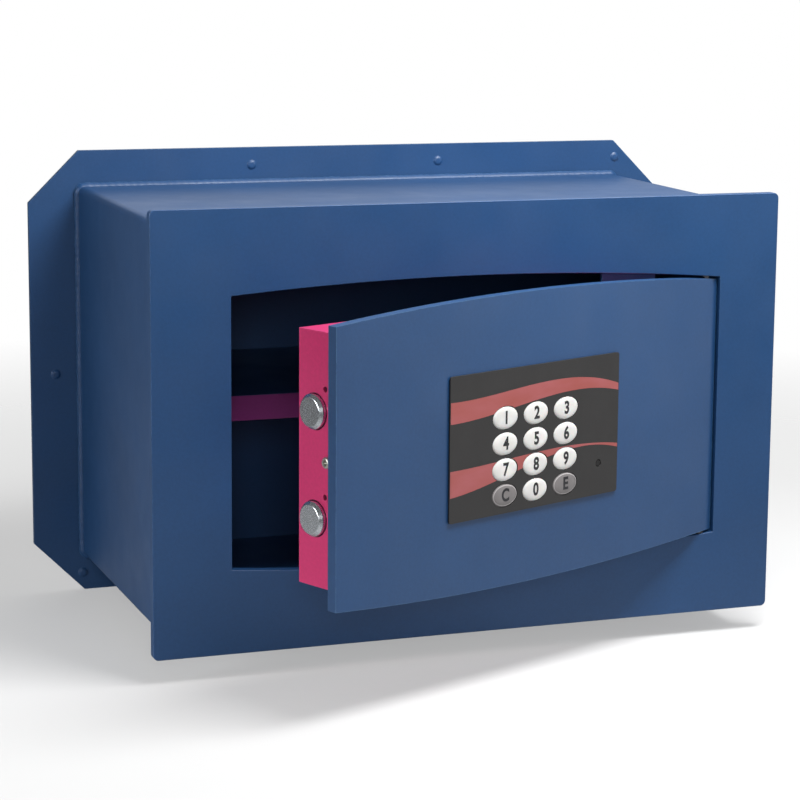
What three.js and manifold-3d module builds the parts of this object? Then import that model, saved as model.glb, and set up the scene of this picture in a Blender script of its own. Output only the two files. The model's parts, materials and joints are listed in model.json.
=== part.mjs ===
// A wall safe that is walled in up to its front frame. Its door swings on two pivot pins, and a motor
// drives two round bolts from inside the lock case. Millimetres, +X to the hinge side, +Y into the
// wall, +Z up. The origin is the centre of the rear panel's outer face.
import * as THREE from "three";
import { mergeVertices } from "three/addons/utils/BufferGeometryUtils.js";
import Module from "manifold-3d";

// Driving dimensions. Depths are measured from the frame's front face.
const safeDepth = 210;
const gap = 0.3; // between pieces that touch

const frameWidth = 360;
const frameHeight = 238;
const frameThickness = 6;
const frameCorner = 3;

const bodyInset = 8; // from the frame's edge to the body's side
const bodySheet = 3;
const bodyBend = 4;

const flangeWidth = 402;
const flangeHeight = 264;
const flangeChamfer = 30;
const rearThickness = 3;
const dimpleRadius = 3;
const dimpleHeight = 1;
const dimplePlaces = [-66, 53, 172]; // along the top edge, and turned half round along the bottom

const openingX = 4; // the opening sits a little towards the hinge side
const openingHalfWidth = 141;
const openingCornerHeight = 73;
const openingBulge = 6; // rise of the arched edges over their ends
const doorGap = 1.5;

const doorThickness = 6;
const doorRestAngle = 22.5; // degrees the door stands open
const hingeInset = 6;
const pinRadius = 1.75;
const pinReach = 8; // how far a pin enters the door, and the frame

const caseLeft = -131.5;
const caseRight = 118;
const caseBottom = -62.5;
const caseTop = 67;
const caseBack = 33;
const caseSheet = 1.5;

const boltRadius = 9;
const boltDepth = 21;
const boltHeights = [26.5, -27.8];
const boltFace = -135;
const boltLength = 62;
const boltChamfer = 1.5;

const gearModule = 1.5;
const pinionTeeth = 10;
const pinionX = -48;
const pinionZ = 8;

const keypadX = 1.8;
const keypadZ = 0.3;
const keypadWidth = 124.5;
const keypadHeight = 76.5;
const keypadProud = 1.2;
const keyWidth = 18;
const keyHeight = 12;
const keyPitchX = 22.35;
const keyPitchZ = 13.7;
const keyMiddleX = 1.35;
const keyTopRowZ = 12.8;
const keyProud = 0.6; // above the bezel
const keyCollar = 0.6; // how far the collar that holds a key in stands out round it

const shelfTop = 10;
const shelfFront = 55;
const shelfSheet = 1.5;
const shelfLip = 14;

const cellRadius = 7.1;
const cellLength = 49.5;
const cellPitch = 15;
const trayLeft = 41;
const trayBottom = -30;

const wasm = await Module();
wasm.setup();

// Materials

function paint(color, roughness, metalness) {
  return new THREE.MeshStandardMaterial({ color, roughness, metalness });
}

const bluePaint = paint(0x33528a, 0.5, 0.25);
const crimsonPaint = paint(0xb0306a, 0.45, 0.1);
const chrome = paint(0xc8c8cc, 0.15, 1);
const steel = paint(0x9a9ca0, 0.35, 1);
const zinc = paint(0xb6b3a4, 0.4, 1);
const blackPlastic = paint(0x2b2c2e, 0.55, 0);
const whiteKey = paint(0xf2f2ee, 0.5, 0);
const greyKey = paint(0x8a8584, 0.5, 0);
const rubber = paint(0x3a3a3c, 0.9, 0);
const board = paint(0x1f6b43, 0.6, 0);
const darkLens = paint(0x0c0c0e, 0.2, 0);
const cellWrap = paint(0xb08a3c, 0.35, 0.4);

// Solids

function solid(geometry) {
  const plain = geometry.index ? geometry.toNonIndexed() : geometry.clone();
  plain.deleteAttribute("normal");
  plain.deleteAttribute("uv");
  const merged = mergeVertices(plain, 1e-4);
  return new wasm.Manifold(
    new wasm.Mesh({
      numProp: 3,
      vertProperties: merged.attributes.position.array,
      triVerts: new Uint32Array(merged.index.array),
    }),
  );
}

function joined(...pieces) {
  return pieces.reduce((sum, piece) => sum.add(piece));
}

function cut(body, ...tools) {
  return tools.reduce((rest, tool) => rest.subtract(tool), body);
}

function mesh(name, body, material) {
  const made = body.getMesh();
  const geometry = new THREE.BufferGeometry();
  geometry.setAttribute("position", new THREE.BufferAttribute(made.vertProperties, 3));
  geometry.setIndex(new THREE.BufferAttribute(made.triVerts, 1));
  geometry.computeVertexNormals();
  const result = new THREE.Mesh(geometry, material);
  result.name = name;
  return result;
}

// A block from its lowest to its highest corner.
function block(x0, x1, y0, y1, z0, z1) {
  const geometry = new THREE.BoxGeometry(x1 - x0, y1 - y0, z1 - z0);
  geometry.translate((x0 + x1) / 2, (y0 + y1) / 2, (z0 + z1) / 2);
  return solid(geometry);
}

// A shape drawn in X and Z, extruded over the depths y0 to y1.
function slab(shape, y0, y1, curveSegments = 12) {
  const geometry = new THREE.ExtrudeGeometry(shape, {
    depth: y1 - y0,
    bevelEnabled: false,
    curveSegments,
  });
  geometry.rotateX(Math.PI / 2);
  geometry.translate(0, y1, 0);
  return solid(geometry);
}

// A turned piece: profile points are [distance along the axis, radius], and it starts at the origin.
function turned(profile, direction, segments = 24) {
  const points = profile.map(([along, radius]) => new THREE.Vector2(radius, along));
  const first = new THREE.Vector2(0, profile[0][0]);
  const last = new THREE.Vector2(0, profile[profile.length - 1][0]);
  const geometry = new THREE.LatheGeometry([first, ...points, last], segments);
  if (direction === "x") geometry.rotateZ(-Math.PI / 2);
  if (direction === "z") geometry.rotateX(Math.PI / 2);
  return solid(geometry);
}

function rod(radius, length, direction, x, y, z, segments = 24) {
  const profile = [
    [0, radius],
    [length, radius],
  ];
  return turned(profile, direction, segments).translate([x, y, z]);
}

// Outlines

function rectangle(x0, x1, z0, z1, corner = 0) {
  const shape = new THREE.Shape();
  if (corner === 0) {
    shape.moveTo(x0, z0);
    shape.lineTo(x1, z0);
    shape.lineTo(x1, z1);
    shape.lineTo(x0, z1);
    return shape;
  }
  shape.moveTo(x0 + corner, z0);
  shape.absarc(x1 - corner, z0 + corner, corner, -Math.PI / 2, 0);
  shape.absarc(x1 - corner, z1 - corner, corner, 0, Math.PI / 2);
  shape.absarc(x0 + corner, z1 - corner, corner, Math.PI / 2, Math.PI);
  shape.absarc(x0 + corner, z0 + corner, corner, Math.PI, Math.PI * 1.5);
  return shape;
}

// Straight sides with arched top and bottom edges.
function barrel(halfWidth, cornerHeight, bulge) {
  const radius = (halfWidth ** 2 + bulge ** 2) / (2 * bulge);
  const half = Math.asin(halfWidth / radius);
  const centre = cornerHeight + bulge - radius;
  const shape = new THREE.Shape();
  shape.absarc(openingX, centre, radius, Math.PI / 2 - half, Math.PI / 2 + half);
  shape.absarc(openingX, -centre, radius, Math.PI * 1.5 - half, Math.PI * 1.5 + half);
  return shape;
}

function oval(x, z, width, height) {
  const shape = new THREE.Shape();
  shape.absellipse(x, z, width / 2, height / 2, 0, Math.PI * 2);
  return shape;
}

function chamferedRectangle(halfWidth, halfHeight, chamfer) {
  const shape = new THREE.Shape();
  shape.moveTo(-halfWidth + chamfer, -halfHeight);
  shape.lineTo(halfWidth - chamfer, -halfHeight);
  shape.lineTo(halfWidth, -halfHeight + chamfer);
  shape.lineTo(halfWidth, halfHeight - chamfer);
  shape.lineTo(halfWidth - chamfer, halfHeight);
  shape.lineTo(-halfWidth + chamfer, halfHeight);
  shape.lineTo(-halfWidth, halfHeight - chamfer);
  shape.lineTo(-halfWidth, -halfHeight + chamfer);
  return shape;
}

// The body: front frame, folded shell and the rear panel that is also the anchoring flange

const bodyHalfWidth = frameWidth / 2 - bodyInset;
const bodyHalfHeight = frameHeight / 2 - bodyInset;
const innerHalfWidth = bodyHalfWidth - bodySheet;
const shellFront = frameThickness + gap;
const shellBack = safeDepth - rearThickness - gap;

const hingeX = openingX + openingHalfWidth - doorGap - hingeInset;
const hingeDepth = doorThickness / 2;
const doorHalfWidth = openingHalfWidth - doorGap;
const doorCornerHeight = openingCornerHeight - doorGap;

// Height of an arched edge at the hinge axis.
function archAtHinge(halfWidth, cornerHeight) {
  const offset = (hingeX - openingX) / halfWidth;
  return cornerHeight + openingBulge * (1 - offset ** 2);
}

const openingEdge = archAtHinge(openingHalfWidth, openingCornerHeight);
const doorEdge = archAtHinge(doorHalfWidth, doorCornerHeight);
const boreRadius = pinRadius + gap;

// The bore for one pivot pin, through the clearance between door and frame.
function pinBore(side) {
  const low = doorEdge - pinReach;
  const high = openingEdge + pinReach;
  return rod(boreRadius, high - low, "z", hingeX, hingeDepth, side > 0 ? low : -high);
}

function makeFrontFrame() {
  const outline = rectangle(
    -frameWidth / 2,
    frameWidth / 2,
    -frameHeight / 2,
    frameHeight / 2,
    frameCorner,
  );
  const plate = slab(outline, 0, frameThickness, 4);
  const opening = barrel(openingHalfWidth, openingCornerHeight, openingBulge);
  const mouth = slab(opening, -1, frameThickness + 1, 20);
  return mesh("front_frame", cut(plate, mouth, pinBore(1), pinBore(-1)), bluePaint);
}

function makeBodyShell() {
  const outer = rectangle(-bodyHalfWidth, bodyHalfWidth, -bodyHalfHeight, bodyHalfHeight, bodyBend);
  const inner = rectangle(
    -innerHalfWidth,
    innerHalfWidth,
    -bodyHalfHeight + bodySheet,
    bodyHalfHeight - bodySheet,
    bodyBend - bodySheet,
  );
  outer.holes.push(inner);
  return mesh("body_shell", slab(outer, shellFront, shellBack, 4), bluePaint);
}

// A low boss that is pressed into the flange from behind, so the mortar grips it.
function dimple(x, z, front) {
  const boss = [
    [0, 0.4 * dimpleRadius],
    [0.3 * dimpleHeight, 0.7 * dimpleRadius],
    [dimpleHeight, dimpleRadius],
    [dimpleHeight + 0.5, dimpleRadius],
  ];
  return turned(boss, "y", 20).translate([x, front - dimpleHeight, z]);
}

function makeRearPanel() {
  const outline = chamferedRectangle(flangeWidth / 2, flangeHeight / 2, flangeChamfer);
  const front = safeDepth - rearThickness;
  const plate = slab(outline, front, safeDepth);
  const dimpleZ = (bodyHalfHeight + flangeHeight / 2) / 2;
  const dimpleX = (bodyHalfWidth + flangeWidth / 2) / 2;
  const places = dimplePlaces.flatMap((x) => [
    [x, dimpleZ],
    [-x, -dimpleZ],
  ]);
  places.push([-dimpleX, 0], [dimpleX, 0]);
  const bosses = places.map(([x, z]) => dimple(x, z, front));
  const hollows = places.map(([x, z]) => dimple(x, z, safeDepth));
  return mesh("rear_panel", cut(joined(plate, ...bosses), ...hollows), bluePaint);
}

function makeHingePin(name, side) {
  const low = doorEdge - pinReach + gap;
  const high = openingEdge + pinReach - gap;
  const pin = rod(pinRadius, high - low, "z", hingeX, hingeDepth, side > 0 ? low : -high);
  return mesh(name, pin, steel);
}

// The thrust washer that the door turns on, round the lower pin.
function makeHingeWasher() {
  const thickness = 0.7;
  const low = -(openingEdge + doorEdge + thickness) / 2;
  const disc = rod(2.8, thickness, "z", hingeX, hingeDepth, low);
  const hole = rod(boreRadius, thickness + 2, "z", hingeX, hingeDepth, low - 1);
  return mesh("hinge_washer", cut(disc, hole), zinc);
}

// Tabs behind the frame that the closed door comes to rest on.
function makeDoorStop(name, side) {
  const near = doorCornerHeight - 2;
  const far = openingCornerHeight + openingBulge + 8;
  const heights = [near * side, far * side].sort((a, b) => a - b);
  const tab = block(76, 108, shellFront, shellFront + 3, heights[0], heights[1]);
  return mesh(name, tab, bluePaint);
}

function makeShelf() {
  const half = innerHalfWidth - 1;
  const back = shellBack - 1;
  const deck = block(-half, half, shelfFront, back, shelfTop - shelfSheet, shelfTop);
  const lip = block(
    -half,
    half,
    shelfFront,
    shelfFront + shelfSheet,
    shelfTop - shelfLip,
    shelfTop,
  );
  return mesh("shelf", joined(deck, lip), crimsonPaint);
}

function makeShelfBracket(name, side) {
  const wall = innerHalfWidth - gap;
  const top = shelfTop - shelfSheet - gap;
  const front = shelfFront + 8;
  const back = shellBack - 8;
  const leg = 2;
  const reach = 12;
  const ledge = block(wall - reach, wall, front, back, top - leg, top);
  const web = block(wall - leg, wall, front, back, top - reach, top);
  const bracket = joined(ledge, web);
  return mesh(name, side > 0 ? bracket : bracket.mirror([1, 0, 0]), bluePaint);
}

// The door plate and the lock case behind it

const pocket = { left: -36, right: 56, bottom: -36.5, top: 24 }; // the bezel's spigot
const pocketWall = 1.2;

function makeDoorPlate() {
  const outline = barrel(doorHalfWidth, doorCornerHeight, openingBulge);
  const plate = slab(outline, 0, doorThickness, 20);
  const window = block(
    pocket.left - gap,
    pocket.right + gap,
    -1,
    doorThickness + 1,
    pocket.bottom - gap,
    pocket.top + gap,
  );
  return mesh("door_plate", cut(plate, window, pinBore(1), pinBore(-1)), bluePaint);
}

const caseFront = doorThickness + gap;
const screwDepth = 10.5;
const screwZ = 2.2;
const screwHole = 1.7;
const coverTravel = 58;
const cover = { left: 36, right: 108, bottom: -36, top: 32, thickness: 1.2, slack: gap };

// One folded runner that holds the battery cover against the case's back.
function coverRunner(edge, side) {
  const start = cover.left - coverTravel;
  const high = caseBack + cover.thickness + 3 * gap;
  const outer = edge + side * (cover.slack + 1.2);
  const inner = edge + side * cover.slack;
  const over = edge - side * 2;
  const web = [outer, inner].sort((a, b) => a - b);
  const lip = [outer, over].sort((a, b) => a - b);
  return joined(
    block(start, cover.right, caseBack - 0.5, high + 1.2, web[0], web[1]),
    block(start, cover.right, high, high + 1.2, lip[0], lip[1]),
  );
}

function makeLockCase() {
  const shell = block(caseLeft, caseRight, caseFront, caseBack, caseBottom, caseTop);
  const hollow = block(
    caseLeft + caseSheet,
    caseRight - caseSheet,
    caseFront - 1,
    caseBack - caseSheet,
    caseBottom + caseSheet,
    caseTop - caseSheet,
  );
  const boltHoles = boltHeights.map((z) =>
    rod(boltRadius + 0.5, caseSheet + 2, "x", caseLeft - 1, boltDepth, z),
  );
  const vents = boltHeights.map((z) =>
    rod(1.5, caseSheet + 2, "x", caseLeft - 1, 13, z + 12, 12),
  );
  const screws = [caseLeft - 1, caseRight - caseSheet - 1].map((x) =>
    rod(screwHole, caseSheet + 2, "x", x, screwDepth, screwZ, 12),
  );
  const batteryWindow = block(
    trayLeft,
    trayLeft + 4 * cellPitch + 2,
    caseBack - caseSheet - 1,
    caseBack + 1,
    trayBottom,
    trayBottom + cellLength + 6,
  );
  const hollowCase = cut(shell, hollow, ...boltHoles, ...vents, ...screws, batteryWindow);
  const runners = [coverRunner(cover.top, 1), coverRunner(cover.bottom, -1)];
  return mesh("lock_case", joined(hollowCase, ...runners), crimsonPaint);
}

function makeBatteryCover() {
  const front = caseBack + gap;
  const plate = block(
    cover.left,
    cover.right,
    front,
    front + cover.thickness,
    cover.bottom,
    cover.top,
  );
  const gripLeft = cover.left + 6;
  const ribs = [0, 3, 6].map((step) =>
    block(gripLeft + step, gripLeft + step + 1.2, front, front + 2.8, -16, 12),
  );
  return mesh("battery_cover", joined(plate, ...ribs), crimsonPaint);
}

// A tab welded behind the door plate, which a case screw goes into.
function makeCaseLug(name, x) {
  const tab = block(x, x + 2.5, caseFront, 18, screwZ - 10, screwZ + 10);
  const thread = rod(screwHole, 5, "x", x - 1, screwDepth, screwZ, 12);
  return mesh(name, cut(tab, thread), steel);
}

function makeCaseScrew(name, side) {
  const headHeight = 2.1;
  const shank = 5;
  const profile = [
    [0, 2.2],
    [0.6, 3],
    [headHeight, 3],
    [headHeight, 1.4],
    [headHeight + shank, 1.4],
  ];
  const start = side < 0 ? caseLeft - gap - headHeight : caseRight + gap + headHeight;
  const recess = rod(1.2, 1.2, "x", -0.01, 0, 0, 6);
  const screw = cut(turned(profile, "x", 16), recess);
  const turnedRound = side < 0 ? screw : screw.mirror([1, 0, 0]);
  return mesh(name, turnedRound.translate([start, screwDepth, screwZ]), zinc);
}

// Bolt work

const carriageLeft = boltFace + boltLength + gap;
const carriageRight = carriageLeft + 3;

function makeBoltChassis() {
  const left = -126;
  const right = -97;
  const sheet = 2.5;
  const base = block(left, right, caseFront, caseFront + 2, -42, 41);
  const outerWall = block(left, left + sheet, caseFront, 31.2, -42, 41);
  const innerWall = block(right - sheet, right, caseFront, 31.2, -42, 41);
  const bores = boltHeights.map((z) =>
    rod(boltRadius + gap, right - left + 2, "x", left - 1, boltDepth, z),
  );
  return mesh("bolt_chassis", cut(joined(base, outerWall, innerWall), ...bores), steel);
}

function makeBolt(name, z) {
  const profile = [
    [0, boltRadius - boltChamfer],
    [boltChamfer, boltRadius],
    [boltLength, boltRadius],
  ];
  const shaft = turned(profile, "x", 32);
  const tapped = rod(1.9 + gap, 12, "x", boltLength - 10, 0, 0, 12);
  return mesh(name, cut(shaft, tapped).translate([boltFace, boltDepth, z]), chrome);
}

function makeBoltCarriage() {
  const plate = block(carriageLeft, carriageRight, 13, 29, -38, 37);
  const holes = boltHeights.map((z) =>
    rod(1.9 + gap, 6, "x", carriageLeft - 1, boltDepth, z, 12),
  );
  return mesh("bolt_carriage", cut(plate, ...holes), steel);
}

function makeCarriageScrew(name, z) {
  const shank = 11;
  const profile = [
    [0, 1.9],
    [shank, 1.9],
    [shank, 3.5],
    [shank + 2.2, 3.5],
  ];
  const screw = turned(profile, "x", 12);
  const start = carriageRight + gap - shank;
  return mesh(name, screw.translate([start, boltDepth, z]), zinc);
}

// Gear teeth: an addendum and a dedendum, with straight flanks and generous backlash.
const gearPitch = Math.PI * gearModule;
const pitchRadius = (gearModule * pinionTeeth) / 2;
const addendum = 0.8 * gearModule;
const dedendum = 1.1 * gearModule;
const rackWidth = 6;
const rackPitchLine = pinionZ - pitchRadius;
const rackDepth = boltDepth - rackWidth / 2;

function makeDriveRack() {
  const left = carriageRight + gap;
  const right = -18;
  const root = rackPitchLine - dedendum;
  const tip = rackPitchLine + addendum;
  const bar = block(left, right, rackDepth, rackDepth + rackWidth, root - 5, root);
  const teeth = [];
  const firstTooth = pinionX + gearPitch / 2 - 5 * gearPitch;
  for (let x = firstTooth; x < right - gearPitch / 2; x += gearPitch) {
    if (x < left + gearPitch / 2) continue;
    const tooth = new THREE.Shape();
    tooth.moveTo(x - 0.36 * gearPitch, root - 0.5);
    tooth.lineTo(x + 0.36 * gearPitch, root - 0.5);
    tooth.lineTo(x + 0.09 * gearPitch, tip);
    tooth.lineTo(x - 0.09 * gearPitch, tip);
    teeth.push(slab(tooth, rackDepth, rackDepth + rackWidth));
  }
  return mesh("drive_rack", joined(bar, ...teeth), steel);
}

function makeDrivePinion() {
  const root = pitchRadius - dedendum;
  const tip = pitchRadius + addendum;
  const step = (Math.PI * 2) / pinionTeeth;
  const outline = new THREE.Shape();
  for (let i = 0; i < pinionTeeth; i += 1) {
    const middle = -Math.PI / 2 + i * step;
    for (const [offset, radius] of [
      [-0.3, root],
      [-0.09, tip],
      [0.09, tip],
      [0.3, root],
    ]) {
      const angle = middle + offset * step;
      const x = pinionX + radius * Math.cos(angle);
      const z = pinionZ + radius * Math.sin(angle);
      if (i === 0 && offset === -0.3) outline.moveTo(x, z);
      else outline.lineTo(x, z);
    }
  }
  const wheel = slab(outline, rackDepth, rackDepth + rackWidth);
  const shaft = rod(2, 15, "y", pinionX, 12, pinionZ, 16);
  return mesh("drive_pinion", joined(wheel, shaft), zinc);
}

function makeGearbox() {
  const housing = block(pinionX - 12, pinionX + 12, 8.6, 17.4, -4, 22);
  const shaftBore = rod(2 + gap, 10, "y", pinionX, 11.5, pinionZ, 16);
  return mesh("gearbox", cut(housing, shaftBore), zinc);
}

function makeMotor() {
  const profile = [
    [0, 3.5],
    [1.5, 3.5],
    [1.5, 7.5],
    [29, 7.5],
    [29, 2.5],
    [31, 2.5],
  ];
  const motor = turned(profile, "x", 24);
  return mesh("motor", motor.translate([pinionX + 12 + gap, 16.3, 13]), steel);
}

// Electronics and batteries

function makeLockBoard() {
  const top = 10.2;
  const plate = block(-30, 34, 8.6, top, -58, -10);
  const relay = block(-24, -9, top - 0.1, top + 10, -52, -40);
  const chip = block(0, 14, top - 0.1, top + 2, -36, -24);
  const plug = block(20, 30, top - 0.1, top + 6, -54, -44);
  const capacitor = rod(3, 9, "y", -16, top - 0.1, -24, 12);
  return mesh("lock_board", joined(plate, relay, chip, plug, capacitor), board);
}

const trayFloor = 11;
const cellDepth = trayFloor + 1.5 + gap + cellRadius;

function makeBatteryTray() {
  const width = 4 * cellPitch + 2;
  const length = cellLength + 6;
  const right = trayLeft + width;
  const top = trayBottom + length;
  const wall = 1.5;
  const outer = block(trayLeft - wall, right + wall, trayFloor, 29, trayBottom - wall, top + wall);
  const inner = block(trayLeft, right, trayFloor + wall, 30, trayBottom, top);
  const feet = [trayLeft + 4, right - 4].flatMap((x) =>
    [trayBottom + 4, top - 4].map((z) =>
      rod(2.5, trayFloor - caseFront + 0.5, "y", x, caseFront, z, 12),
    ),
  );
  return mesh("battery_tray", joined(cut(outer, inner), ...feet), blackPlastic);
}

function makeBattery(index) {
  const up = index % 2 === 0;
  const profile = [
    [0, cellRadius - 0.6],
    [0.6, cellRadius],
    [cellLength - 0.6, cellRadius],
    [cellLength, cellRadius - 0.6],
    [cellLength, 2.6],
    [cellLength + 1.2, 2.6],
  ];
  const x = trayLeft + 1 + cellPitch * (index - 0.5);
  const cell = turned(profile, "z", 20);
  const placed = up
    ? cell.translate([x, cellDepth, trayBottom + 2])
    : cell.mirror([0, 0, 1]).translate([x, cellDepth, trayBottom + 2 + cellLength + 1.2]);
  return mesh(`battery_${index}`, placed, cellWrap);
}

// Keypad

const keyColumns = [-1, 0, 1].map((step) => keyMiddleX + step * keyPitchX);
const keyRows = [0, 1, 2, 3].map((step) => keyTopRowZ - step * keyPitchZ);
const keyNames = ["1", "2", "3", "4", "5", "6", "7", "8", "9", "clear", "0", "enter"];
const ledX = 49.3;
const ledZ = -20.6;

function makeKeypadBezel() {
  const panel = rectangle(
    keypadX - keypadWidth / 2,
    keypadX + keypadWidth / 2,
    keypadZ - keypadHeight / 2,
    keypadZ + keypadHeight / 2,
    1.5,
  );
  const keyHoles = keyRows.flatMap((z) =>
    keyColumns.map((x) => slab(oval(x, z, keyWidth + 2 * gap, keyHeight + 2 * gap), -5, 5, 12)),
  );
  const ledHole = rod(2.1, 10, "y", ledX, -5, ledZ, 16);
  const face = cut(slab(panel, -keypadProud, -gap, 3), ...keyHoles, ledHole);
  const spigot = block(pocket.left, pocket.right, -gap - 0.1, 5.6, pocket.bottom, pocket.top);
  const room = block(
    pocket.left + pocketWall,
    pocket.right - pocketWall,
    -1,
    6,
    pocket.bottom + pocketWall,
    pocket.top - pocketWall,
  );
  return mesh("keypad_bezel", joined(face, cut(spigot, room)), blackPlastic);
}

function makeKey(name, x, z, material) {
  const front = -keypadProud - keyProud;
  const cap = slab(oval(x, z, keyWidth, keyHeight), front + 0.4, 0.5, 10);
  const crown = slab(oval(x, z, keyWidth - 0.8, keyHeight - 0.8), front, front + 0.6, 10);
  const rim = 2 * keyCollar;
  const collar = slab(oval(x, z, keyWidth + rim, keyHeight + rim), 0, 0.9, 10);
  return mesh(`key_${name}`, joined(cap, crown, collar), material);
}

function pocketPlate(name, y0, y1, material) {
  const margin = pocketWall + gap;
  const plate = block(
    pocket.left + margin,
    pocket.right - margin,
    y0,
    y1,
    pocket.bottom + margin,
    pocket.top - margin,
  );
  return mesh(name, plate, material);
}

function makeStatusLens() {
  return mesh("status_lens", rod(1.8, 2.9, "y", ledX, -keypadProud + 0.2, ledZ, 16), darkLens);
}

function makeRibbonCable() {
  const strip = block(2, 16, 5, 8.3, -20.4, -19.8);
  return mesh("ribbon_cable", strip, rubber);
}

// Assembly

const safe = new THREE.Group();
safe.position.y = -safeDepth;
safe.add(
  makeFrontFrame(),
  makeBodyShell(),
  makeRearPanel(),
  makeHingePin("hinge_pin_upper", 1),
  makeHingePin("hinge_pin_lower", -1),
  makeHingeWasher(),
  makeDoorStop("door_stop_upper", 1),
  makeDoorStop("door_stop_lower", -1),
  makeShelf(),
  makeShelfBracket("shelf_bracket_left", -1),
  makeShelfBracket("shelf_bracket_right", 1),
);

// The door's pieces are drawn with the door shut, and this pair of groups turns them about the pins.
const doorSwing = new THREE.Group();
doorSwing.position.set(hingeX, hingeDepth, 0);
doorSwing.rotation.z = THREE.MathUtils.degToRad(doorRestAngle);
const door = new THREE.Group();
door.position.set(-hingeX, -hingeDepth, 0);
doorSwing.add(door);
safe.add(doorSwing);

door.add(
  makeDoorPlate(),
  makeLockCase(),
  makeBatteryCover(),
  makeCaseLug("case_lug_left", caseLeft + caseSheet + gap),
  makeCaseLug("case_lug_right", caseRight - caseSheet - gap - 2.5),
  makeCaseScrew("case_screw_left", -1),
  makeCaseScrew("case_screw_right", 1),
  makeBoltChassis(),
  makeBolt("bolt_upper", boltHeights[0]),
  makeBolt("bolt_lower", boltHeights[1]),
  makeBoltCarriage(),
  makeCarriageScrew("carriage_screw_upper", boltHeights[0]),
  makeCarriageScrew("carriage_screw_lower", boltHeights[1]),
  makeDriveRack(),
  makeDrivePinion(),
  makeGearbox(),
  makeMotor(),
  makeLockBoard(),
  makeRibbonCable(),
  makeBatteryTray(),
  makeKeypadBezel(),
  makeStatusLens(),
  pocketPlate("key_membrane", 2.2, 3, rubber),
  pocketPlate("keypad_board", 3.3, 4.7, board),
);
for (let index = 1; index <= 4; index += 1) door.add(makeBattery(index));
keyNames.forEach((name, index) => {
  const x = keyColumns[index % 3];
  const z = keyRows[Math.floor(index / 3)];
  const material = name === "clear" || name === "enter" ? greyKey : whiteKey;
  door.add(makeKey(name, x, z, material));
});

export default safe;
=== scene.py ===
"""The wall safe's looks: a blue powder-coated body and door, a crimson lock case, chromed bolts and a
printed keypad. Metres, +X to the hinge side, +Y into the wall, +Z up. Pieces on the door are made as if it
were shut, and then turned to where it stands open at rest."""
import json
import math

import bmesh
import bpy
from mathutils import Matrix, Vector


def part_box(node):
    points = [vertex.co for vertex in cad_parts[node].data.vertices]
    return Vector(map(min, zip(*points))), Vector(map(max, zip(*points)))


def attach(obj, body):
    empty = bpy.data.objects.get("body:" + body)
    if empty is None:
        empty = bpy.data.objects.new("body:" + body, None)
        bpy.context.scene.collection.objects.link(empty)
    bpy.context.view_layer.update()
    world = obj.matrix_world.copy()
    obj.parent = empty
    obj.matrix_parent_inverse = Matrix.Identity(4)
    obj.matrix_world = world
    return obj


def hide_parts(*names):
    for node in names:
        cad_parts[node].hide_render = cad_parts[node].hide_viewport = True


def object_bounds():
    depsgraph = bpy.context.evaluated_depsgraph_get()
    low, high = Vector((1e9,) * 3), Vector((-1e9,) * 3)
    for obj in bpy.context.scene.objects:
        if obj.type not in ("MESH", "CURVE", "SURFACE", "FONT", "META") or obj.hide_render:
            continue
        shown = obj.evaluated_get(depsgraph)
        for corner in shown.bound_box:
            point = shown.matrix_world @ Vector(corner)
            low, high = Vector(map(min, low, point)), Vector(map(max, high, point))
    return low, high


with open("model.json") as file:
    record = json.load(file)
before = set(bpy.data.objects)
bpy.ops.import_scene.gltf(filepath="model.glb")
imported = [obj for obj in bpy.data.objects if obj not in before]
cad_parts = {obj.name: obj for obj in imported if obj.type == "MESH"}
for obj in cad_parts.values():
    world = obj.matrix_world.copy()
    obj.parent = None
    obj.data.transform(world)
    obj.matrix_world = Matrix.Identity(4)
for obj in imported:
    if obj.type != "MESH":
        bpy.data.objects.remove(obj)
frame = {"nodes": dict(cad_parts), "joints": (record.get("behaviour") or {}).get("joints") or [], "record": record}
cad_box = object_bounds()

MM = 0.001  # metres
hinge = next(joint for joint in frame["joints"] if joint["name"] == "door_hinge")
hinge_pin = Vector(hinge["pos_m"])
door_rest_angle = -math.radians(hinge["range_deg"][0])
SHUT_TO_REST = (
    Matrix.Translation(hinge_pin)
    @ Matrix.Rotation(door_rest_angle, 4, "Z")
    @ Matrix.Translation(-hinge_pin)
)
REST_TO_SHUT = SHUT_TO_REST.inverted()


def shut_box(node):
    """The corners of a CAD node on the door, with the door shut."""
    points = [REST_TO_SHUT @ v.co for v in frame["nodes"][node].data.vertices]
    return (
        Vector([min(p[axis] for p in points) for axis in range(3)]),
        Vector([max(p[axis] for p in points) for axis in range(3)]),
    )


# Camera


def make_camera():
    """A long lens to the left of the front and a little above it."""
    azimuth = math.radians(-21.03)
    elevation = math.radians(10.01)
    roll = math.radians(0.70)
    distance = 1.37407
    front_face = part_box("front_frame")[0].y
    target = Vector((-0.00501, front_face, 0.0222))
    back = Vector((
        math.sin(azimuth) * math.cos(elevation),
        -math.cos(azimuth) * math.cos(elevation),
        math.sin(elevation),
    ))
    right = (-back).cross(Vector((0, 0, 1))).normalized()
    up = right.cross(-back)
    rolled_right = right * math.cos(roll) + up * math.sin(roll)
    rolled_up = up * math.cos(roll) - right * math.sin(roll)
    data = bpy.data.cameras.new("camera")
    data.lens = 114.47
    data.sensor_width = 36
    data.shift_x = -0.0848
    data.shift_y = -0.0249
    camera = bpy.data.objects.new("camera", data)
    turn = Matrix((rolled_right, rolled_up, back)).transposed().to_4x4()
    camera.matrix_world = Matrix.Translation(target + back * distance) @ turn
    bpy.context.collection.objects.link(camera)
    bpy.context.scene.camera = camera


make_camera()


# Mesh helpers


def new_object(name, mesh):
    made = bpy.data.objects.new(name, mesh)
    bpy.context.collection.objects.link(made)
    return made


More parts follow.
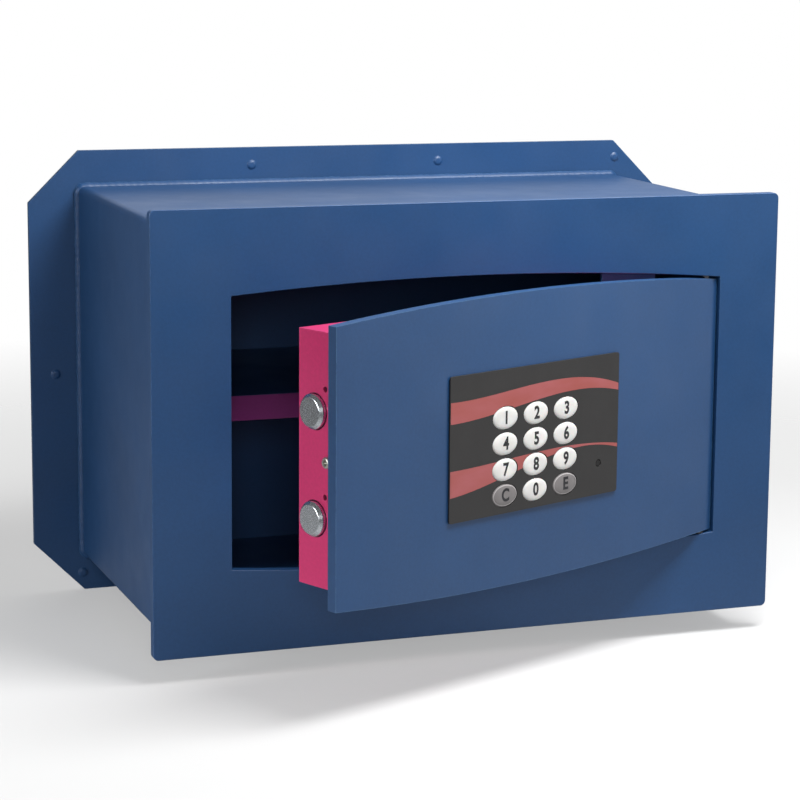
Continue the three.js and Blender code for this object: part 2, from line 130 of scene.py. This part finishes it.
def skin(rings, loops=False):
    """A mesh through rings of as many points each, capped at both ends, or joined end to end."""
    shape = bmesh.new()
    rows = [[shape.verts.new(point) for point in ring] for ring in rings]
    pairs = list(zip(rows, rows[1:] + rows[:1])) if loops else list(zip(rows, rows[1:]))
    for near, far in pairs:
        for i in range(len(near)):
            j = (i + 1) % len(near)
            shape.faces.new((near[i], near[j], far[j], far[i]))
    if not loops:
        shape.faces.new(rows[0][::-1])
        shape.faces.new(rows[-1])
    bmesh.ops.recalc_face_normals(shape, faces=shape.faces)
    mesh = bpy.data.meshes.new("skin")
    shape.to_mesh(mesh)
    shape.free()
    return mesh


def finish_piece(piece, body, material, matrix=None, sharp=30):
    """Turns the piece into place, shades it, and lets it ride on its CAD body."""
    if matrix is not None:
        piece.data.transform(matrix)
    if piece.type == "MESH":
        piece.data.shade_smooth()
        piece.data.set_sharp_from_angle(angle=math.radians(sharp))
    piece.data.materials.clear()
    piece.data.materials.append(material)
    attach(piece, body)


# Materials


class Surface:
    """A Principled material with helpers that add procedural nodes in front of it."""

    def __init__(self, name, **sockets):
        self.material = bpy.data.materials.new(name)
        self.material.use_nodes = True
        self.tree = self.material.node_tree
        self.shader = self.tree.nodes["Principled BSDF"]
        for socket, value in sockets.items():
            self.shader.inputs[socket.replace("_", " ")].default_value = value
        self.place = self.node("TexCoord").outputs["Object"]

    def node(self, kind, inputs=None, **settings):
        made = self.tree.nodes.new("ShaderNode" + kind)
        for setting, value in settings.items():
            setattr(made, setting, value)
        for socket, value in (inputs or {}).items():
            if isinstance(value, bpy.types.NodeSocket):
                self.tree.links.new(value, made.inputs[socket])
            else:
                made.inputs[socket].default_value = value
        return made

    def feed(self, socket, value):
        self.tree.links.new(value, self.shader.inputs[socket])

    def noise(self, size, detail=2.0, stretch=(1, 1, 1)):
        """Noise whose features are about size metres across."""
        place = self.place
        if stretch != (1, 1, 1):
            place = self.node("Mapping", {"Vector": place, "Scale": stretch}).outputs["Vector"]
        inputs = {"Vector": place, "Scale": 1 / size, "Detail": detail}
        return self.node("TexNoise", inputs).outputs["Fac"]

    def spread(self, value, low, high, start=0.3, end=0.7):
        """value from start to end, spread over low to high."""
        inputs = {"Value": value, "From Min": start, "From Max": end, "To Min": low, "To Max": high}
        return self.node("MapRange", inputs).outputs["Result"]

    def mix(self, factor, first, second):
        """first where factor is 0, and second where it is 1."""
        made = self.node("Mix", data_type="RGBA")
        for index, value in ((0, factor), (6, first), (7, second)):
            if isinstance(value, bpy.types.NodeSocket):
                self.tree.links.new(value, made.inputs[index])
            else:
                made.inputs[index].default_value = value
        return made.outputs[2]

    def maths(self, operation, first, second=0.0):
        return self.node("Math", {0: first, 1: second}, operation=operation).outputs[0]

    def edges(self, radius):
        """1 along sharp outer edges, with a broken outline."""
        rounded = self.node("Bevel", {"Radius": radius}, samples=6).outputs["Normal"]
        flat = self.node("NewGeometry").outputs["Normal"]
        normals = {0: rounded, 1: flat}
        facing = self.node("VectorMath", normals, operation="DOT_PRODUCT").outputs["Value"]
        turned = self.maths("SUBTRACT", 1.0, facing)
        broken = self.spread(self.noise(4 * MM, 4), 0.2, 1.0, 0.42, 0.62)
        return self.spread(self.maths("MULTIPLY", turned, broken), 0, 1, 0.02, 0.16)

    def bump(self, height, distance, strength=1.0):
        inputs = {"Height": height, "Distance": distance, "Strength": strength}
        self.feed("Normal", self.node("Bump", inputs).outputs["Normal"])


def shade(colour, factor):
    return tuple(min(1, channel * factor) for channel in colour[:3]) + (1,)


def powder_coat(name, colour, worn, roughness, rubbed=0.9 * MM, top=None):
    """Powder coat on steel sheet: an orange-peel skin, faint clouds, and paler rubbed edges.

    Where top is given, it colours the faces that look up: a painted reflection, standing in for the blue light the
    walls throw onto them.
    """
    surface = Surface(name, Metallic=0.0, Specular_IOR_Level=0.45, Coat_Weight=0.12, Coat_Roughness=0.3)
    clouds = surface.noise(90 * MM, 3)
    speckle = surface.noise(1.6 * MM, 2)
    tone = surface.mix(surface.spread(clouds, 0, 1), shade(colour, 0.9), shade(colour, 1.1))
    tone = surface.mix(surface.spread(speckle, 0, 0.16), tone, shade(colour, 1.7))
    # Painted reflection: faces that look up take the top colour in place of the light reflected onto them.
    if top:
        normal = surface.node("NewGeometry").outputs["Normal"]
        upward = surface.node("SeparateXYZ", {"Vector": normal}).outputs["Z"]
        tone = surface.mix(surface.spread(upward, 0, 1, 0.5, 0.8), tone, top)
    surface.feed("Base Color", surface.mix(surface.edges(rubbed), tone, worn))
    rough = surface.spread(surface.noise(28 * MM, 4), roughness - 0.05, roughness + 0.07)
    surface.feed("Roughness", rough)
    peel = surface.noise(1.9 * MM, 2)
    surface.bump(peel, 0.05 * MM, 0.55)
    return surface.material


def steel(name, colour, roughness, brushed=(1, 1, 1)):
    """Bare or plated steel with fine drawn lines and a few dull patches."""
    surface = Surface(name, Metallic=1.0)
    patches = surface.noise(14 * MM, 4)
    tone = surface.mix(surface.spread(patches, 0, 1), shade(colour, 0.82), colour)
    surface.feed("Base Color", surface.mix(surface.edges(0.6 * MM), tone, shade(colour, 1.25)))
    lines = surface.noise(0.5 * MM, 3, brushed)
    surface.feed("Roughness", surface.spread(lines, roughness - 0.05, roughness + 0.12))
    surface.bump(lines, 0.01 * MM, 0.5)
    return surface.material


def moulded(name, colour, roughness, grain, subsurface=0.0):
    """Moulded plastic or rubber with a fine grain."""
    surface = Surface(name, Subsurface_Weight=subsurface, Subsurface_Scale=0.5 * MM)
    clouds = surface.spread(surface.noise(12 * MM, 3), 0, 1)
    tone = surface.mix(clouds, shade(colour, 0.9), shade(colour, 1.08))
    surface.feed("Base Color", surface.mix(surface.edges(0.4 * MM), tone, shade(colour, 1.25)))
    fine = surface.noise(0.35 * MM, 2)
    surface.feed("Roughness", surface.spread(fine, roughness - 0.06, roughness + 0.08))
    surface.bump(fine, grain, 0.6)
    return surface.material


def printed(name, low, high):
    """Screen-printed ink whose tint drifts along the panel."""
    surface = Surface(name, Specular_IOR_Level=0.35)
    drift = surface.noise(22 * MM, 2, (1, 1, 2.5))
    surface.feed("Base Color", surface.mix(surface.spread(drift, 0, 1), low, high))
    screen = surface.noise(0.3 * MM, 1)
    surface.feed("Roughness", surface.spread(screen, 0.42, 0.56))
    surface.bump(screen, 0.01 * MM, 0.4)
    return surface.material


def circuit_board(name):
    """Solder mask over copper tracks, with the glass weave faintly through it."""
    surface = Surface(name, Specular_IOR_Level=0.6)
    bricks = {"Vector": surface.place, "Scale": 260.0, "Mortar Size": 0.012, "Mortar Smooth": 0.3}
    tracks = surface.node("TexBrick", bricks).outputs["Fac"]
    mask = surface.mix(surface.noise(7 * MM, 3), (0.008, 0.075, 0.03, 1), (0.012, 0.11, 0.045, 1))
    surface.feed("Base Color", surface.mix(tracks, mask, (0.05, 0.3, 0.12, 1)))
    weave = surface.noise(0.8 * MM, 2)
    surface.feed("Roughness", surface.spread(weave, 0.3, 0.45))
    surface.bump(tracks, 0.03 * MM, 0.6)
    return surface.material


def dark_lens(name):
    """A smoked lens with a faint cloud inside."""
    surface = Surface(name, Specular_IOR_Level=0.25)
    cloud = surface.noise(1.5 * MM, 2)
    surface.feed("Base Color", surface.mix(cloud, (0.001, 0.001, 0.001, 1), (0.004, 0.003, 0.004, 1)))
    surface.feed("Roughness", surface.spread(surface.noise(0.4 * MM), 0.12, 0.22))
    return surface.material


def cell_wrap(name, node, cap_up):
    """A cell's printed sleeve: a gold quarter at the positive end, black below, and bare steel ends."""
    low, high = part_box(node)
    surface = Surface(name)
    height = surface.node("SeparateXYZ", {"Vector": surface.place}).outputs["Z"]
    start, end = (low.z, high.z) if cap_up else (high.z, low.z)
    along = surface.spread(height, 0, 1, start, end)
    wear = surface.spread(surface.noise(5 * MM, 4), 0.75, 1.1)
    gold = surface.maths("GREATER_THAN", along, 0.7)
    sleeve = surface.mix(gold, (0.012, 0.012, 0.014, 1), (0.55, 0.27, 0.06, 1))
    from_middle = surface.maths("ABSOLUTE", surface.maths("SUBTRACT", along, 0.49))
    bare = surface.maths("GREATER_THAN", from_middle, 0.475)
    surface.feed("Base Color", surface.mix(bare, sleeve, (0.6, 0.6, 0.62, 1)))
    surface.feed("Metallic", surface.spread(surface.maths("MAXIMUM", gold, bare), 0.1, 0.9, 0, 1))
    surface.feed("Roughness", surface.maths("MULTIPLY", wear, 0.32))
    surface.bump(surface.noise(1.2 * MM), 0.02 * MM, 0.4)
    return surface.material


BLUE = (0.0105, 0.051, 0.145, 1)
blue = powder_coat("blue_paint", BLUE, (0.05, 0.13, 0.25, 1), 0.46)
crimson = powder_coat("crimson_paint", (0.49, 0.0195, 0.118, 1), (0.58, 0.07, 0.19, 1), 0.44)
# The shelf's paint is the crimson paint made darker and bluer, which is painted shade, and its faces that look up
# take the blue, which is a painted reflection of the blue walls.
shade_painted_crimson = powder_coat("shelf_painted_shade", (0.13, 0.012, 0.11, 1), (0.14, 0.015, 0.12, 1), 0.4, 0.0, BLUE)
MATERIALS = {
    "blue_paint": blue,
    "crimson_paint": crimson,
    "bolt_chrome": steel("bolt_chrome", (0.70, 0.74, 0.78, 1), 0.2, (1, 1, 5)),
    "plain_steel": steel("plain_steel", (0.13, 0.13, 0.14, 1), 0.42, (0.3, 1, 1)),
    "zinc_plate": steel("zinc_plate", (0.62, 0.61, 0.56, 1), 0.3),
    "black_plastic": moulded("black_plastic", (0.020, 0.019, 0.019, 1), 0.55, 0.02 * MM),
    "white_key": moulded("white_key", (0.72, 0.71, 0.69, 1), 0.42, 0.01 * MM, 0.1),
    "grey_key": moulded("grey_key", (0.18, 0.168, 0.168, 1), 0.5, 0.01 * MM),
    "dark_rubber": moulded("dark_rubber", (0.03, 0.03, 0.032, 1), 0.8, 0.04 * MM),
    "circuit_board": circuit_board("circuit_board"),
    "dark_lens": dark_lens("dark_lens"),
}
key_print = printed("key_print", (0.012, 0.012, 0.014, 1), (0.03, 0.03, 0.034, 1))
key_ring_print = printed("key_ring_print", (0.36, 0.34, 0.34, 1), (0.46, 0.44, 0.44, 1))
band_print = printed("band_print", (0.33, 0.078, 0.069, 1), (0.37, 0.100, 0.105, 1))


# CAD nodes that keep their shape: rounded edges and a real finish


def round_edges(node, width, segments=3):
    """Rounds a CAD node's edges, and lets its flat faces and its bends shade evenly."""
    piece = frame["nodes"][node]
    piece.data.shade_smooth()
    weld = piece.modifiers.new("weld", "WELD")
    weld.merge_threshold = 0.01 * MM
    flat = piece.modifiers.new("merge_flats", "DECIMATE")
    flat.decimate_type = "DISSOLVE"
    flat.angle_limit = math.radians(0.2)
    bevel = piece.modifiers.new("edges", "BEVEL")
    bevel.width = width
    bevel.segments = segments
    bevel.limit_method = "ANGLE"
    bevel.angle_limit = math.radians(35)
    bevel.use_clamp_overlap = True
    normals = piece.modifiers.new("normals", "WEIGHTED_NORMAL")
    normals.weight = 100
    normals.keep_sharp = False


EDGE_RADII = {
    "front_frame": 0.7,
    "door_plate": 0.7,
    "rear_panel": 0.5,
    "body_shell": 0.3,
    "shelf": 0.4,
    "lock_case": 0.45,
    "keypad_bezel": 0.3,
    "battery_tray": 0.5,
}
SMALLEST_RADIUS = 0.2
cad_slots = {part["node"]: part["material_slot"] for part in frame["record"]["subparts"]}
for name, piece in frame["nodes"].items():
    slot = cad_slots[name]
    if slot in MATERIALS:
        piece.data.materials.clear()
        piece.data.materials.append(MATERIALS[slot])
    round_edges(name, EDGE_RADII.get(name, SMALLEST_RADIUS) * MM)

# The shelf wears the darker copy of the crimson paint, whose darkness is painted shade.
frame["nodes"]["shelf"].data.materials[0] = shade_painted_crimson
frame["nodes"]["hinge_washer"].data.materials[0] = MATERIALS["plain_steel"]

for index in range(1, 5):
    sleeve = cell_wrap(f"cell_wrap_{index}", f"battery_{index}", cap_up=index % 2 == 0)
    cell = frame["nodes"][f"battery_{index}"]
    cell.data.materials.clear()
    cell.data.materials.append(sleeve)


# Welded seams between the body shell and the plates at its two ends


def rounded_path(half_width, half_height, corner, pitch):
    """Points and outward directions round a rectangle with rounded corners, about pitch apart."""
    stations = []
    centres = [(1, 1), (-1, 1), (-1, -1), (1, -1)]
    for quarter, (side_x, side_z) in enumerate(centres):
        centre = Vector((side_x * (half_width - corner), side_z * (half_height - corner)))
        for step in range(7):
            angle = math.radians(90 * quarter + 15 * step)
            outward = Vector((math.cos(angle), math.sin(angle)))
            stations.append((centre + outward * corner, outward))
        next_x, next_z = centres[(quarter + 1) % 4]
        turned = math.radians(90 * (quarter + 1))
        outward = Vector((math.cos(turned), math.sin(turned)))
        goal = Vector((next_x * (half_width - corner), next_z * (half_height - corner))) + outward * corner
        begin = stations[-1][0]
        count = round((goal - begin).length / pitch)
        stations += [(begin.lerp(goal, i / count), outward) for i in range(1, count)]
    return stations


def make_weld(name, depth, towards):
    """A bead in the corner between the shell's side and the plate at that depth."""
    shell_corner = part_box("body_shell")[1]
    bend = 4 * MM
    leg = 2.2 * MM
    pitch = 1.1 * MM
    hollow = 1.4
    root = -1 * MM
    rings = []
    for number, (point, outward) in enumerate(rounded_path(shell_corner.x, shell_corner.z, bend, pitch)):
        swell = 1 + 0.05 * math.sin(number * math.tau / 4) + 0.04 * math.sin(number * 0.37)
        profile = []
        for step in range(6):
            angle = math.radians(18 * step)
            out = leg * swell * math.cos(angle) ** hollow
            along = leg * swell * math.sin(angle) ** hollow
            profile.append((out, along))
        profile += [(root, leg), (root, -0.2 * MM)]
        rings.append([
            (point.x + outward.x * out, depth + towards * along, point.y + outward.y * out)
            for out, along in profile
        ])
    weld = new_object(name, skin(rings, loops=True))
    finish_piece(weld, "safe_body", blue, sharp=60)


make_weld("weld_front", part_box("front_frame")[1].y, 1)
make_weld("weld_rear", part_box("rear_panel")[0].y, -1)


# Bolts: turned and chamfered bars


def ring_round_x(x, radius, centre, count=72):
    angles = [math.tau * i / count for i in range(count)]
    return [(x, centre.y + radius * math.cos(a), centre.z + radius * math.sin(a)) for a in angles]


def make_bolt(name, node):
    """A bar with a softened chamfer round the end that stands out."""
    low, high = shut_box(node)
    centre = (low + high) / 2
    radius = (high.z - low.z) / 2
    chamfer = 1.5 * MM
    soft = 0.25 * MM
    profile = [
        (low.x, radius * 0.2),
        (low.x, radius - chamfer - soft),
        (low.x + soft * 0.4, radius - chamfer),
        (low.x + chamfer, radius - soft * 0.4),
        (low.x + chamfer + soft, radius),
        (high.x, radius),
    ]
    bolt = new_object(name, skin([ring_round_x(x, r, centre) for x, r in profile]))
    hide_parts(node)
    finish_piece(bolt, "bolt_work", MATERIALS["bolt_chrome"], SHUT_TO_REST, 20)


make_bolt("bolt_bar_upper", "bolt_upper")
make_bolt("bolt_bar_lower", "bolt_lower")


# Case screws: button heads with a round socket


def make_case_screw(name, node, outward):
    """outward is -1 where the head points away from the hinge, and 1 where it points to it."""
    low, high = shut_box(node)
    centre = (low + high) / 2
    face = low.x if outward < 0 else high.x
    length = (high.x - low.x) / MM
    socket = [(1.5, 1.45), (0.25, 1.45)]
    head = [(0, 1.7), (0, 2.1), (0.25, 2.6), (0.75, 2.95), (1.2, 3.0), (2.1, 3.0)]
    shank = [(2.1, 1.4), (length, 1.4)]
    rings = [
        ring_round_x(face - outward * depth * MM, radius * MM, centre, 48)
        for depth, radius in socket + head + shank
    ]
    screw = new_object(name, skin(rings))
    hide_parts(node)
    finish_piece(screw, "door", MATERIALS["zinc_plate"], SHUT_TO_REST)


make_case_screw("screw_left", "case_screw_left", -1)
make_case_screw("screw_right", "case_screw_right", 1)


# Keys: crowned ovals with printed marks

KEY_COLLAR = 0.6 * MM
CROWN = 1.1 * MM


def oval_ring(centre, half_width, half_height, y, count=64):
    angles = [math.tau * i / count for i in range(count)]
    return [
        (centre.x + half_width * math.cos(a), y, centre.z + half_height * math.sin(a)) for a in angles
    ]


def make_key_cap(label, node, body, slot):
    """A domed cap on the collar that holds it in. Gives the dome's top and half its width and height."""
    low, high = shut_box(node)
    centre = (low + high) / 2
    collar = (high - low) / 2
    collar_front = high.y - 0.9 * MM
    half_width = collar.x - KEY_COLLAR
    half_height = collar.z - KEY_COLLAR
    rings = [
        oval_ring(centre, collar.x, collar.z, high.y),
        oval_ring(centre, collar.x, collar.z, collar_front),
        oval_ring(centre, half_width, half_height, collar_front),
    ]
    for step in range(18):
        angle = math.radians(5 * step)
        reach = math.cos(angle) ** 0.5
        y = low.y + CROWN * (1 - math.sin(angle))
        rings.append(oval_ring(centre, half_width * reach, half_height * reach, y))
    cap = new_object(f"cap_{label}", skin(rings))
    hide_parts(node)
    finish_piece(cap, body, MATERIALS[slot], SHUT_TO_REST)
    return Vector((centre.x, low.y, centre.z)), half_width, half_height


def make_mark(label, place, body):
    """A printed sign, upright on the key."""
    text = bpy.data.curves.new(f"mark_{label}", "FONT")
    text.body = label
    text.align_x = "CENTER"
    text.align_y = "CENTER"
    text.size = 9.2 * MM
    text.offset = 0.3 * MM
    text.extrude = 0.06 * MM
    text.resolution_u = 6
    text.materials.append(key_print)
    mark = new_object(f"mark_{label}", text)
    upright = Matrix.Rotation(math.radians(90), 4, "X") @ Matrix.Diagonal((0.86, 1, 1, 1))
    mark.matrix_world = SHUT_TO_REST @ Matrix.Translation(place) @ upright
    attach(mark, body)


def make_key_ring(label, place, half_width, half_height, body):
    """The thin printed outline of a function key."""
    rings = []
    for inset, rise in ((0.45, -0.02), (0.45, 0.08), (0.85, 0.06), (0.85, -0.06)):
        reach = 1 - inset * MM / half_height
        drop = CROWN * (1 - math.sqrt(1 - reach**4))
        y = place.y + drop - rise * MM
        rings.append(oval_ring(place, half_width - inset * MM, half_height - inset * MM, y))
    ring = new_object(f"outline_{label}", skin(rings, loops=True))
    finish_piece(ring, body, key_ring_print, SHUT_TO_REST)


KEYS = [(str(digit), str(digit), "white_key") for digit in range(10)]
KEYS += [("clear", "C", "grey_key"), ("enter", "E", "grey_key")]
for key, label, slot in KEYS:
    body = f"button_{key}"
    place, half_width, half_height = make_key_cap(label, f"key_{key}", body, slot)
    make_mark(label, place, body)
    if slot == "grey_key":
        make_key_ring(label, place, half_width, half_height, body)


# Printed bands on the keypad


def bezier(heights, t):
    """The height at t of a cubic whose four control points are evenly spaced."""
    a, b, c, d = heights
    u = 1 - t
    return a * u**3 + 3 * b * u**2 * t + 3 * c * u * t**2 + d * t**3


def carve(piece, cutters):
    """Cuts the other objects out of the piece, and removes them."""
    for cutter in cutters:
        cutting = piece.modifiers.new("cut", "BOOLEAN")
        cutting.object = cutter
        cutting.operation = "DIFFERENCE"
        cutting.solver = "EXACT"
    shown = piece.evaluated_get(bpy.context.evaluated_depsgraph_get())
    carved = bpy.data.meshes.new_from_object(shown)
    piece.modifiers.clear()
    piece.data = carved
    for cutter in cutters:
        bpy.data.objects.remove(cutter)


def key_cutters():
    """Oval plugs that clear the keys out of a film."""
    inset = 0.25 * MM
    cutters = []
    for key, _label, _slot in KEYS:
        low, high = shut_box(f"key_{key}")
        centre = (low + high) / 2
        half = (high - low) / 2
        ends = (low.y - MM, high.y)
        rings = [oval_ring(centre, half.x - inset, half.z - inset, y) for y in ends]
        cutters.append(new_object("cutter", skin(rings)))
    return cutters


def make_band(name, upper, lower):
    """A film as wide as the panel, between an upper and a lower curve."""
    low, high = shut_box("keypad_bezel")
    middle = (low.z + high.z) / 2
    margin = 0.4 * MM
    front = low.y - 0.05 * MM
    back = low.y + 0.1 * MM
    count = 40
    rings = []
    for i in range(count + 1):
        t = i / count
        x = low.x + margin + t * (high.x - low.x - 2 * margin)
        top = middle + bezier(upper, t) * MM
        bottom = middle + bezier(lower, t) * MM
        rings.append([(x, front, bottom), (x, front, top), (x, back, top), (x, back, bottom)])
    band = new_object(name, skin(rings))
    carve(band, key_cutters())
    finish_piece(band, "door", band_print, SHUT_TO_REST)


make_band("band_upper", (24.8, 23.4, 36.1, 21.5), (13.6, 13.2, 28.1, 17.7))
make_band("band_lower", (-10.9, -11.2, -4.3, -11.6), (-24.8, -22.4, -1.5, -13.7))


# Floor, light and surroundings


def make_floor():
    """A pale floor that fades out into the white surroundings."""
    bottom = cad_box[0].z - 0.2 * MM
    half = 1.1
    corners = [(x * half, y * half, bottom) for x, y in ((-1, -1), (1, -1), (1, 1), (-1, 1))]
    mesh = bpy.data.meshes.new("floor")
    mesh.from_pydata(corners, [], [(0, 1, 2, 3)])
    floor = new_object("floor", mesh)
    surface = Surface("floor", Specular_IOR_Level=0.2)
    pale = surface.mix(surface.noise(0.5), (0.7, 0.7, 0.7, 1), (0.74, 0.74, 0.74, 1))
    surface.feed("Base Color", pale)
    surface.feed("Roughness", surface.spread(surface.noise(0.02), 0.6, 0.7))
    away = surface.node("VectorMath", {0: surface.place}, operation="LENGTH").outputs["Value"]
    fade_from = 0.3
    fade_to = 0.95
    surface.feed("Alpha", surface.spread(away, 0.62, 0, fade_from, fade_to))
    mesh.materials.append(surface.material)


def make_light(name, place, target, size, power, spread=180):
    """A rectangular studio light aimed at the target, with its beam's spread in degrees."""
    data = bpy.data.lights.new(name, "AREA")
    data.shape = "RECTANGLE"
    data.size, data.size_y = size
    data.energy = power
    data.spread = math.radians(spread)
    light = bpy.data.objects.new(name, data)
    aim = Vector(target) - Vector(place)
    light.rotation_euler = aim.to_track_quat("-Z", "Y").to_euler()
    light.location = place
    bpy.context.collection.objects.link(light)


def make_surroundings():
    """Bright white to the camera, and a softer fill for the object."""
    world = bpy.data.worlds.new("studio")
    world.use_nodes = True
    tree = world.node_tree
    background = tree.nodes["Background"]
    background.inputs["Color"].default_value = (1, 1, 1, 1)
    fill = 0.15
    backdrop = 1.0
    seen = tree.nodes.new("ShaderNodeLightPath")
    strength = tree.nodes.new("ShaderNodeMapRange")
    strength.inputs["To Min"].default_value = fill
    strength.inputs["To Max"].default_value = backdrop
    tree.links.new(seen.outputs["Is Camera Ray"], strength.inputs["Value"])
    tree.links.new(strength.outputs["Result"], background.inputs["Strength"])
    bpy.context.scene.world = world
    bpy.context.scene.view_settings.view_transform = "Standard"
    bpy.context.scene.view_settings.look = "None"


make_floor()
make_surroundings()
make_light("key_light", (0.18, -0.42, 0.56), (0.06, -0.2, 0.06), (0.5, 0.2), 7.4)
make_light("front_light", (-0.5, -1.6, 0.35), (-0.05, -0.1, 0.0), (0.25, 0.25), 3.8)
make_light("right_light", (1.1, -0.75, 0.1), (0.0, -0.25, 0.0), (0.6, 0.8), 2.2)
make_light("left_light", (-0.9, -0.36, 0.2), (-0.17, -0.2, 0.0), (0.3, 0.7), 0.55, 40)
make_light("top_light", (0.3, 0.1, 1.3), (0.05, -0.1, 0.1), (1.2, 0.9), 5)
make_light("back_light", (0.3, 1.3, 0.8), (0.0, 0.0, 0.1), (1.5, 0.8), 3)
